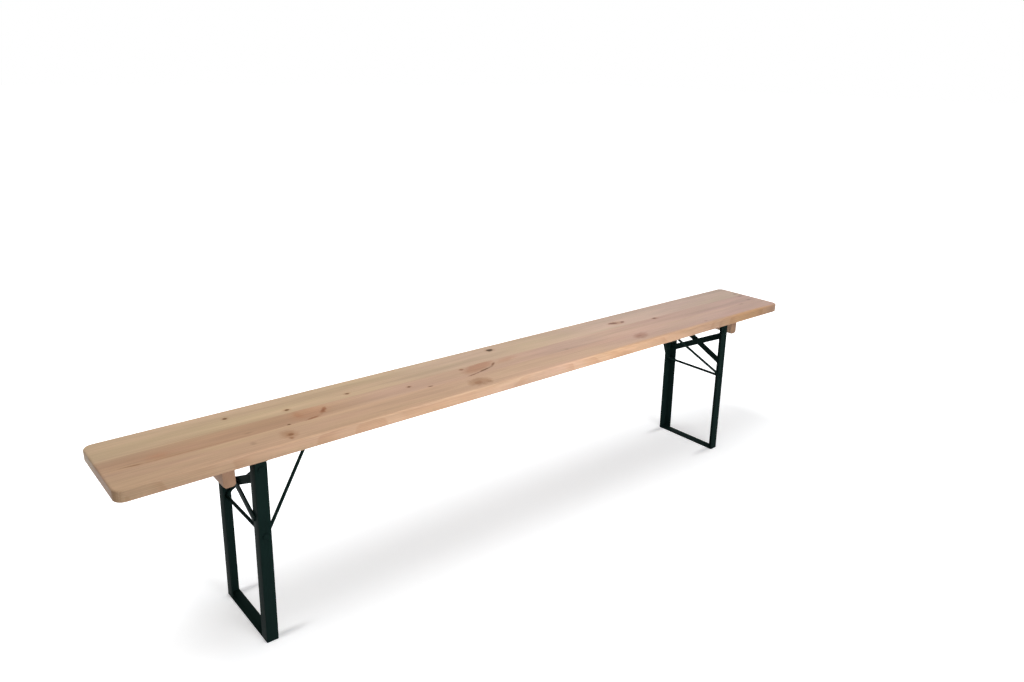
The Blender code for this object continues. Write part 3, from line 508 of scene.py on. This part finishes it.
def round_edges(piece, wanted, radius, segments):
    """Rounds the edges for whose ends wanted(first, second) holds."""
    bpy.ops.object.mode_set(mode="EDIT")
    bpy.ops.mesh.select_mode(type="EDGE")
    bpy.ops.mesh.select_all(action="DESELECT")
    mesh = bmesh.from_edit_mesh(piece.data)
    for edge in mesh.edges:
        edge.select_set(wanted(edge.verts[0].co, edge.verts[1].co))
    bmesh.update_edit_mesh(piece.data)
    bpy.ops.mesh.bevel(offset=radius, segments=segments, profile=0.5, affect="EDGES")
    bpy.ops.object.mode_set(mode="OBJECT")


def pick(piece):
    """Makes a piece the only one that is selected, and the active one."""
    bpy.ops.object.select_all(action="DESELECT")
    bpy.context.view_layer.objects.active = piece
    piece.select_set(True)


def smooth(piece, sharp_from=35):
    """Shades a piece smooth but for the edges that turn by more than sharp_from degrees."""
    pick(piece)
    bpy.ops.object.shade_smooth_by_angle(angle=math.radians(sharp_from))


def fit_out(piece, material, slot, body, *nodes):
    """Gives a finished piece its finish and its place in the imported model."""
    piece.data.materials.clear()
    piece.data.materials.append(material)
    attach(piece, body)
    if nodes:
        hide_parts(*nodes)


glue_fill = 0.00013
plan_radius = 0.022
top_radius = 0.005
under_radius = 0.004
near = 0.00002
for node_name, wood, glued_front, glued_back in (
    ("stave_front", planks["front"], False, True),
    ("stave_middle", planks["middle"], True, True),
    ("stave_back", planks["back"], True, False),
):
    low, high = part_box(node_name)
    if glued_front:
        low.y -= glue_fill
    if glued_back:
        high.y += glue_fill
    plank = saw_to_size("seat_" + node_name, low, high)

    def at_side(point, glued):
        at_front = point.y < low.y + near and glued_front == glued
        at_back = point.y > high.y - near and glued_back == glued
        return at_front or at_back

    def on_plan_corner(first, second):
        upright = abs(first.z - second.z) > near
        return upright and at_side(first, glued=False) and at_side(second, glued=False)

    def along_glue(first, second):
        level = abs(first.y - second.y) < near
        return level and at_side(first, glued=True) and at_side(second, glued=True)

    if not (glued_front and glued_back):
        round_edges(plank, on_plan_corner, plan_radius, segments=12)
    for face_z, radius in ((high.z, top_radius), (low.z, under_radius)):
        round_edges(
            plank,
            lambda first, second: abs(first.z - face_z) < near
            and abs(second.z - face_z) < near
            and not along_glue(first, second),
            radius,
            segments=8,
        )
    smooth(plank, sharp_from=30)
    fit_out(plank, wood, "light_wood", "seat", node_name)

# The steel's finish: dark green semi-gloss enamel sprayed over pickled mild steel, clouded and
# a little orange-peeled. The screws and the leaf springs are zinc-plated and left bright.

mottle, entry, leave = start_group(
    "mottle",
    [
        ("Place", "Vector", (0, 0, 0)),
        ("Cloud Scale", "Float", 14.0),
        ("Grain Scale", "Float", 420.0),
    ],
    [("Cloud", "Float"), ("Grain", "Float")],
)
for pattern, detail in (("Cloud", 3.0), ("Grain", 1.0)):
    spotting = {"Vector": entry["Place"], "Scale": entry[pattern + " Scale"], "Detail": detail}
    mottle.links.new(add_node(mottle, "TexNoise", spotting), leave[pattern])


def make_finish(name, first, second, cloud_scale, grain_scale, smoothest, roughest, relief):
    """A mottled finish between two colours, with a fine relief in its surface."""
    material = bpy.data.materials.new(name)
    material.use_nodes = True
    tree = material.node_tree
    shader = tree.nodes["Principled BSDF"]
    place = tree.nodes.new("ShaderNodeTexCoord").outputs["Object"]
    scales = {"Cloud Scale": cloud_scale, "Grain Scale": grain_scale}
    spots = add_group(tree, mottle, {"Place": place, **scales})
    colour = mix_colours(tree, "MIX", spots["Cloud"], (*first, 1), (*second, 1))
    tree.links.new(colour, shader.inputs["Base Color"])
    roughness = ramp(tree, spots["Cloud"], *noise_span, smoothest, roughest)
    tree.links.new(roughness, shader.inputs["Roughness"])
    peel = {"Height": spots["Grain"], "Strength": relief, "Distance": grain_depth}
    tree.links.new(add_node(tree, "Bump", peel), shader.inputs["Normal"])
    return material, shader


enamel, enamel_shader = make_finish(
    "dark_green_enamel",
    (0.0064, 0.0150, 0.0134),
    (0.0092, 0.0206, 0.0184),
    cloud_scale=14,
    grain_scale=420,
    smoothest=0.34,
    roughest=0.46,
    relief=0.25,
)
enamel_shader.inputs["Specular IOR Level"].default_value = 0.005
zinc, zinc_shader = make_finish(
    "bright_zinc",
    (0.47, 0.48, 0.50),
    (0.62, 0.61, 0.57),
    cloud_scale=160,
    grain_scale=900,
    smoothest=0.24,
    roughest=0.46,
    relief=0.15,
)
zinc_shader.inputs["Metallic"].default_value = 1

# The battens: two planed softwood laths across the underside, end grain to the bench's sides.
# Their lower long edges are planed off, and three deep counterbores each take the screws' heads.


def turn_rod(radius, length, middle, vertices, rotation=(0, 0, 0)):
    """A round bar round its middle, along Z unless it is turned, with its place in its mesh."""
    bpy.ops.object.select_all(action="DESELECT")
    bpy.ops.mesh.primitive_cylinder_add(
        vertices=vertices, radius=radius, depth=length, location=middle, rotation=rotation
    )
    bpy.ops.object.transform_apply(location=True, rotation=True, scale=True)
    return bpy.context.object


def cut_away(piece, cutter):
    """Takes the cutter's shape out of a piece, and the cutter out of the scene."""
    pick(piece)
    cut = piece.modifiers.new("cut", "BOOLEAN")
    cut.operation = "DIFFERENCE"
    cut.solver = "EXACT"
    cut.object = cutter
    bpy.ops.object.modifier_apply(modifier="cut")
    bpy.data.objects.remove(cutter, do_unlink=True)


def soften(piece, width, segments=2, sharp_from=40):
    """Rounds each edge that is still sharp by a hair."""
    pick(piece)
    rounding = piece.modifiers.new("rounding", "BEVEL")
    rounding.width = width
    rounding.segments = segments
    rounding.limit_method = "ANGLE"
    rounding.angle_limit = math.radians(sharp_from)
    bpy.ops.object.modifier_apply(modifier="rounding")


batten_wood = make_plank_wood(
    "batten_wood",
    (0.53, 0.35, 0.24),
    (0.43, 0.25, 0.155),
    pith=(0.80, 0.55),
    taper=0.0,
    seed=5.0,
    marks=[],
    crossways=True,
)
planed_edge = 0.005
batten_edge = 0.0006
counterbore_radius = 0.0045
counterbore_depth = 0.018
for side_name in ("left", "right"):
    low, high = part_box("batten_" + side_name)
    batten = saw_to_size("lath_" + side_name, low, high)
    round_edges(
        batten,
        lambda first, second: first.z < low.z + near
        and second.z < low.z + near
        and abs(first.x - second.x) < near,
        planed_edge,
        segments=1,
    )
    for number in (1, 2, 3):
        screw_low, screw_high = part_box(f"batten_screw_{side_name}_{number}")
        middle = (screw_low + screw_high) / 2
        middle.z = low.z
        bore = turn_rod(counterbore_radius, 2 * counterbore_depth, middle, vertices=32)
        cut_away(batten, bore)
    soften(batten, batten_edge)
    smooth(batten)
    fit_out(batten, batten_wood, "batten_wood", "seat", "batten_" + side_name)

# The wood screws: 4 mm, zinc-plated, with a pan head and a cross recess. Three hold each batten,
# two each hinge bracket, two each catch hook and one each leaf spring.


def select_faces(piece, wanted):
    """Goes to edit mode and selects the faces for whose middle and normal wanted(...) holds."""
    pick(piece)
    bpy.ops.object.mode_set(mode="EDIT")
    bpy.ops.mesh.select_mode(type="FACE")
    bpy.ops.mesh.select_all(action="DESELECT")
    mesh = bmesh.from_edit_mesh(piece.data)
    for face in mesh.faces:
        face.select_set(wanted(face.calc_center_median(), face.normal))
    bmesh.update_edit_mesh(piece.data)


def draw_out(rise, share):
    """Extrudes the selected face up by rise and scales it to its share, round the Z axis."""
    bpy.ops.mesh.extrude_region_move(TRANSFORM_OT_translate={"value": (0, 0, rise)})
    if share != 1:
        bpy.ops.transform.resize(value=(share, share, 1), center_override=(0, 0, 0))


def copy_piece(piece, name, move):
    """A copy with its own mesh, moved by a matrix, which may mirror it."""
    mesh = piece.data.copy()
    mesh.transform(move)
    if move.determinant() < 0:
        mesh.flip_normals()
    other = bpy.data.objects.new(name, mesh)
    bpy.context.scene.collection.objects.link(other)
    return other


squarely = 0.9
head_radius = 0.0042
head_height = 0.0026
head_rounding = 0.0012
shank_radius = 0.0020
core_radius = 0.0014
thread_pitch = 0.0014
thread_turns = 10
screw_tip = 0.004
blunt_end = 0.06
low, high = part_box("spring_screw_right")
shortest = high.z - low.z
master_screw = turn_rod(head_radius, head_height, (0, 0, head_height / 2), vertices=24)
round_edges(
    master_screw,
    lambda first, second: first.z < near and second.z < near,
    head_rounding,
    segments=4,
)
select_faces(
    master_screw, lambda middle, normal: middle.z > head_height - near and normal.z > squarely
)
bpy.ops.mesh.inset(thickness=head_radius - shank_radius)
draw_out(shortest - head_height - thread_turns * thread_pitch - screw_tip, 1)
for turn in range(thread_turns):
    draw_out(thread_pitch / 2, core_radius / shank_radius)
    draw_out(thread_pitch / 2, shank_radius / core_radius)
draw_out(screw_tip / 2, core_radius / shank_radius)
draw_out(screw_tip / 2, blunt_end)
bpy.ops.object.mode_set(mode="OBJECT")
recess_half = Vector((0.0022, 0.00048, 0.0015))
for half in (recess_half, recess_half.yxz):
    cut_away(master_screw, saw_to_size("recess", -half, half))
smooth(master_screw)
for node_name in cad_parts:
    if "screw" not in node_name:
        continue
    low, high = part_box(node_name)
    to_place = Matrix.Translation(((low.x + high.x) / 2, (low.y + high.y) / 2, low.z))
    screw = copy_piece(master_screw, "driven_" + node_name, to_place)
    for vertex in screw.data.vertices:
        if vertex.co.z > low.z + head_height + near:
            vertex.co.z += high.z - low.z - shortest
    fit_out(screw, zinc, "zinc_plated_steel", "seat", node_name)
bpy.data.objects.remove(master_screw, do_unlink=True)

# The hinge brackets: 3 mm sheet, blanked and bent to an angle. The plate lies under the board,
# and the ear, round at its end, stands against the leg's inner face. Enamelled with the frame.

merge_gap = 0.000005
flat_within = math.radians(1)


def dress(node_name, name, edge_width):
    """A piece with a node's shape, its flat sides whole and its edges rounded by a hair."""
    piece = bpy.data.objects.new(name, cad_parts[node_name].data.copy())
    bpy.context.scene.collection.objects.link(piece)
    select_faces(piece, lambda middle, normal: True)
    bpy.ops.mesh.remove_doubles(threshold=merge_gap)
    bpy.ops.mesh.dissolve_limited(angle_limit=flat_within)
    bpy.ops.object.mode_set(mode="OBJECT")
    soften(piece, edge_width)
    smooth(piece)
    return piece


steel_slot = "dark_green_paint"
plate_edge = 0.0004
for side_name in ("left", "right"):
    for row_name in ("front", "back"):
        node_name = f"hinge_bracket_{side_name}_{row_name}"
        bracket = dress(node_name, f"hinge_plate_{side_name}_{row_name}", plate_edge)
        fit_out(bracket, enamel, steel_slot, "seat", node_name)

# The catches under the board: a strip bent to a hook, in which the strut's pin hangs, and a leaf
# of spring strip whose nose keeps the pin from sliding out of it.

hook_edge = 0.0003
leaf_edge = 0.00015
for side_name in ("left", "right"):
    hook = dress("catch_hook_" + side_name, "hook_strip_" + side_name, hook_edge)
    fit_out(hook, enamel, steel_slot, "seat", "catch_hook_" + side_name)
    leaf = dress("catch_spring_" + side_name, "leaf_strip_" + side_name, leaf_edge)
    fit_out(leaf, zinc, "zinc_plated_steel", "seat", "catch_spring_" + side_name)

# The leg frames: two legs of rolled angle on a flat floor bar, with two flat bars crossed between
# them, all cut to length with the burr taken off and welded up.

bar_edge = 0.0003
for side_name in ("left", "right"):
    for node_start, piece_start in (
        ("leg_{}_front", "angle_{}_front"),
        ("leg_{}_back", "angle_{}_back"),
        ("foot_bar_{}", "floor_bar_{}"),
        ("brace_inner_{}", "cross_bar_inner_{}"),
        ("brace_outer_{}", "cross_bar_outer_{}"),
    ):
        node_name = node_start.format(side_name)
        steel = dress(node_name, piece_start.format(side_name), bar_edge)
        fit_out(steel, enamel, steel_slot, "leg_frame_" + side_name, node_name)

# The welds of each frame: rippled fillets inside the legs' feet on the floor bar, and along the
# cross bars' ends on the legs' end flanges, under the same enamel.


def start_bar(start, direction, radius, sides):
    """A bar's round end face, selected in edit mode, to be drawn out along the direction."""
    bpy.ops.object.select_all(action="DESELECT")
    turn = direction.to_track_quat("Z", "Y").to_euler()
    bpy.ops.mesh.primitive_circle_add(
        vertices=sides, radius=radius, fill_type="NGON", location=start, rotation=turn
    )
    bpy.ops.object.transform_apply(location=True, rotation=True, scale=True)
    bpy.ops.object.mode_set(mode="EDIT")
    bpy.ops.mesh.select_all(action="SELECT")
    return bpy.context.object


def lay_bead(start, end, radius, ripple):
    """A weld bead along a line: a rod drawn out face by face, thicker at each ripple."""
    width_at_ends = 0.55
    width_between = 0.84
    run = end - start
    bead = start_bar(start, run, radius * width_at_ends, sides=10)
    steps = 2 * round(run.length / ripple / 2) + 1
    width = width_at_ends
    for step in range(1, steps + 1):
        bpy.ops.mesh.extrude_region_move(TRANSFORM_OT_translate={"value": run / steps})
        wanted = width_at_ends if step == steps else (1.0, width_between)[step % 2]
        here = start + run * step / steps
        share = wanted / width
        bpy.ops.transform.resize(value=(share, share, share), center_override=here)
        width = wanted
    bpy.ops.mesh.select_all(action="SELECT")
    bpy.ops.mesh.normals_make_consistent(inside=False)
    bpy.ops.object.mode_set(mode="OBJECT")
    return bead


def join_pieces(pieces, name):
    bpy.ops.object.select_all(action="DESELECT")
    for piece in pieces:
        piece.select_set(True)
    bpy.context.view_layer.objects.active = pieces[0]
    bpy.ops.object.join()
    joined = bpy.context.object
    joined.name = name
    return joined


splay = math.radians(1)
hinge = Vector((0.809, 0, 0.437))
to_left = Matrix.Scale(-1, 4, (1, 0, 0))


def on_frame(outboard, y, drop):
    """A point of the right frame: outboard of the hinge and below it, along the legs' lean."""
    x = hinge.x + outboard * math.cos(splay) + drop * math.sin(splay)
    z = hinge.z + outboard * math.sin(splay) - drop * math.cos(splay)
    return Vector((x, y, z))


flange_inner = 0.011
flange_outer = 0.014
flange_toe = 0.089
web_inner = 0.114
foot_drop = 0.4329
bar_end = 0.1005
bar_drops = (0.023, 0.122)
bar_half_width = 0.0068
bar_slope = Vector((2 * bar_end, bar_drops[1] - bar_drops[0])).normalized()
foot_bead = 0.0021
foot_ripple = 0.0011
bar_bead = 0.0017
bar_ripple = 0.0010
short_of_toe = 0.002
web_run = 0.012
stand_off = 0.0003
beads = []
for row in (-1, 1):
    corner = on_frame(flange_inner, row * web_inner, foot_drop)
    toe = on_frame(flange_inner, row * (flange_toe + short_of_toe), foot_drop)
    inboard = on_frame(-web_run, row * web_inner, foot_drop)
    inboard.z = corner.z
    beads.append(lay_bead(corner, toe, foot_bead, foot_ripple))
    beads.append(lay_bead(corner, inboard, foot_bead, foot_ripple))
    for outboard, high_row in ((flange_inner - stand_off, -1), (flange_outer + stand_off, 1)):
        drop = bar_drops[0] if row == high_row else bar_drops[1]
        across = Vector((-bar_slope.y * high_row, bar_slope.x)) * bar_half_width
        upper = on_frame(outboard, row * bar_end + across.x, drop - across.y)
        lower = on_frame(outboard, row * bar_end - across.x, drop + across.y)
        beads.append(lay_bead(upper, lower, bar_bead, bar_ripple))
weld_edge = 60
right_beads = join_pieces(beads, "frame_welds_right")
smooth(right_beads, weld_edge)
left_beads = copy_piece(right_beads, "frame_welds_left", to_left)
fit_out(right_beads, enamel, steel_slot, "leg_frame_right")
fit_out(left_beads, enamel, steel_slot, "leg_frame_left")

# The hinge rivets: round-headed, driven hot through the bracket's ear and the leg, with the
# second head set against the ear. The leg frame turns on them.


def crown(piece, middle_z, normal_z, steps):
    """Domes a round end face by insets, each given as its width and rise."""
    select_faces(
        piece,
        lambda middle, normal: abs(middle.z - middle_z) < near and normal.z * normal_z > squarely,
    )
    for width, rise in steps:
        bpy.ops.mesh.inset(thickness=width, depth=rise)
    bpy.ops.object.mode_set(mode="OBJECT")


def at_rim(radius, *heights):
    """A test for round_edges: the round edges at a radius from the Z axis and at some heights."""

    def on_rim(point):
        at_height = any(abs(point.z - height) < near for height in heights)
        return at_height and abs(point.xy.length - radius) < near

    def wanted(first, second):
        return abs(first.z - second.z) < near and on_rim(first) and on_rim(second)

    return wanted


def set_in_legs(master, node_start, piece_start, body):
    """Copies a master to each leg, its start at the node's inner end, and takes the master away."""
    for side_name in ("left", "right"):
        for row_name, row in (("front", -1), ("back", 1)):
            node_name = f"{node_start}_{side_name}_{row_name}"
            low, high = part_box(node_name)
            start = (low + high) / 2
            start.y = low.y if row > 0 else high.y
            outwards = Matrix.Rotation(-row * math.pi / 2, 4, "X")
            piece_name = f"{piece_start}_{side_name}_{row_name}"
            piece = copy_piece(master, piece_name, Matrix.Translation(start) @ outwards)
            fit_out(piece, enamel, steel_slot, body.format(side_name), node_name)
    bpy.data.objects.remove(master, do_unlink=True)


rivet_head_radius = 0.0075
rivet_head_height = 0.0032
rivet_side = 0.0018
rivet_side_middle = rivet_head_height - rivet_side / 2
rivet_rounding = 0.0010
rivet_shank_radius = 0.004
low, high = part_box("hinge_rivet_right_back")
rivet_length = high.y - low.y
master_rivet = turn_rod(rivet_head_radius, rivet_side, (0, 0, rivet_side_middle), vertices=40)
select_faces(master_rivet, lambda middle, normal: normal.z > squarely)
bpy.ops.mesh.inset(thickness=rivet_head_radius - rivet_shank_radius)
draw_out(rivet_length - 2 * rivet_head_height, 1)
draw_out(0, rivet_head_radius / rivet_shank_radius)
draw_out(rivet_side, 1)
bpy.ops.object.mode_set(mode="OBJECT")
rivet_dome = ((0.0017, 0.0008), (0.0020, 0.0004), (0.0020, 0.0002))
first_face = rivet_head_height - rivet_side
last_face = rivet_length - first_face
crown(master_rivet, first_face, -1, rivet_dome)
crown(master_rivet, last_face, 1, rivet_dome)
head_rims = at_rim(rivet_head_radius, first_face, last_face)
round_edges(master_rivet, head_rims, rivet_rounding, segments=4)
smooth(master_rivet)
set_in_legs(master_rivet, "hinge_rivet", "round_rivet", "seat")

# The struts: an 8 mm round bar bent cold to a V, with its feet welded to the axle between the legs
# and its short cross run as the pin that the catch holds.


def bend_through(corners, bends, steps):
    """Draws the selected end face out along the corners, with an arc of its radius at each."""
    here = corners[0]
    for corner, following, bend in zip(corners[1:-1], corners[2:], bends):
        run = (corner - here).normalized()
        onwards = (following - corner).normalized()
        turn = run.angle(onwards)
        axis = run.cross(onwards).normalized()
        start = corner - run * bend * math.tan(turn / 2)
        bpy.ops.mesh.extrude_region_move(TRANSFORM_OT_translate={"value": start - here})
        centre = start + axis.cross(run) * bend
        bpy.ops.mesh.spin(steps=steps, angle=-turn, center=centre, axis=axis)
        here = corner + onwards * bend * math.tan(turn / 2)
    bpy.ops.mesh.extrude_region_move(TRANSFORM_OT_translate={"value": corners[-1] - here})
    bpy.ops.mesh.select_all(action="SELECT")
    bpy.ops.mesh.remove_doubles(threshold=merge_gap)
    bpy.ops.mesh.normals_make_consistent(inside=False)
    bpy.ops.object.mode_set(mode="OBJECT")


bar_radius = 0.004
bar_foot_y = 0.1097
knee_rise = 0.0195
pin_half = 0.0115
pin_place = Vector((0.6366, 0, 0.448))
knee_bend = 0.012
pin_bend = 0.008
low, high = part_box("strut_axle_right")
axle_place = (low + high) / 2
rise = pin_place - axle_place
knee = axle_place + rise.normalized() * knee_rise
corners = [
    axle_place + Vector((0, -bar_foot_y, 0)),
    knee + Vector((0, -bar_foot_y, 0)),
    pin_place + Vector((0, -pin_half, 0)),
    pin_place + Vector((0, pin_half, 0)),
    knee + Vector((0, bar_foot_y, 0)),
    axle_place + Vector((0, bar_foot_y, 0)),
]
right_bar = start_bar(corners[0], rise, bar_radius, sides=24)
right_bar.name = "v_bar_right"
bend_through(corners, (knee_bend, pin_bend, pin_bend, knee_bend), steps=8)
smooth(right_bar)
left_bar = copy_piece(right_bar, "v_bar_left", to_left)
fit_out(right_bar, enamel, steel_slot, "strut_right", "strut_arm_right")
fit_out(left_bar, enamel, steel_slot, "strut_left", "strut_arm_left")

# The axles: straight lengths of the same bar through both legs, chamfered at their ends, and the
# saddle-shaped welds that join the struts' feet to them.

axle_chamfer = 0.0006
along_y = (math.pi / 2, 0, 0)
for side_name in ("left", "right"):
    low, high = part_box("strut_axle_" + side_name)
    middle = (low + high) / 2
    axle = turn_rod(bar_radius, high.y - low.y, middle, vertices=32, rotation=along_y)
    axle.name = "cross_axle_" + side_name
    soften(axle, axle_chamfer, segments=1)
    smooth(axle)
    fit_out(axle, enamel, steel_slot, "strut_" + side_name, "strut_axle_" + side_name)

saddle_radius = 0.0043
saddle_bead = 0.0012
saddle_ripple = 0.12
ripples_round = 20
clear_of_leg = 0.1138
saddles = []
upwards = rise.to_track_quat("Z", "Y")
for row in (-1, 1):
    bpy.ops.object.select_all(action="DESELECT")
    bpy.ops.mesh.primitive_torus_add(
        major_radius=saddle_radius, minor_radius=saddle_bead, major_segments=40, minor_segments=8
    )
    saddle = bpy.context.object
    for vertex in saddle.data.vertices:
        spoke = Vector((vertex.co.x, vertex.co.y, 0)).normalized()
        ring = spoke * saddle_radius
        ripple = 1.0 + saddle_ripple * math.cos(ripples_round * math.atan2(spoke.y, spoke.x))
        vertex.co = ring + (vertex.co - ring) * ripple
        along_axle = abs((upwards @ spoke).y)
        vertex.co.z += bar_radius * along_axle
    foot_place = Matrix.Translation(axle_place + Vector((0, row * bar_foot_y, 0)))
    saddle.data.transform(foot_place @ upwards.to_matrix().to_4x4())
    for vertex in saddle.data.vertices:
        if abs(vertex.co.y) > clear_of_leg:
            vertex.co.y = row * clear_of_leg
    saddles.append(saddle)
right_saddles = join_pieces(saddles, "strut_welds_right")
smooth(right_saddles, weld_edge)
left_saddles = copy_piece(right_saddles, "strut_welds_left", to_left)
fit_out(right_saddles, enamel, steel_slot, "strut_right")
fit_out(left_saddles, enamel, steel_slot, "strut_left")

# The axle caps: pressed steel, pushed over the axle's ends outside the legs, domed and thin at
# the rim, under the same enamel.

cap_radius = 0.0072
cap_side = 0.0022
cap_rounding = 0.0008
cap_bore_radius = 0.0043
cap_bore_depth = 0.0024
cap_dome = ((0.0015, 0.0010), (0.0018, 0.0004), (0.0020, 0.0002))
master_cap = turn_rod(cap_radius, cap_side, (0, 0, cap_side / 2), vertices=40)
crown(master_cap, cap_side, 1, cap_dome)
select_faces(master_cap, lambda middle, normal: normal.z < -squarely)
bpy.ops.mesh.inset(thickness=cap_radius - cap_bore_radius)
draw_out(cap_bore_depth, 1)
bpy.ops.object.mode_set(mode="OBJECT")
round_edges(master_cap, at_rim(cap_radius, cap_side), cap_rounding, segments=4)
smooth(master_cap)
set_in_legs(master_cap, "axle_cap", "pressed_cap", "strut_{}")
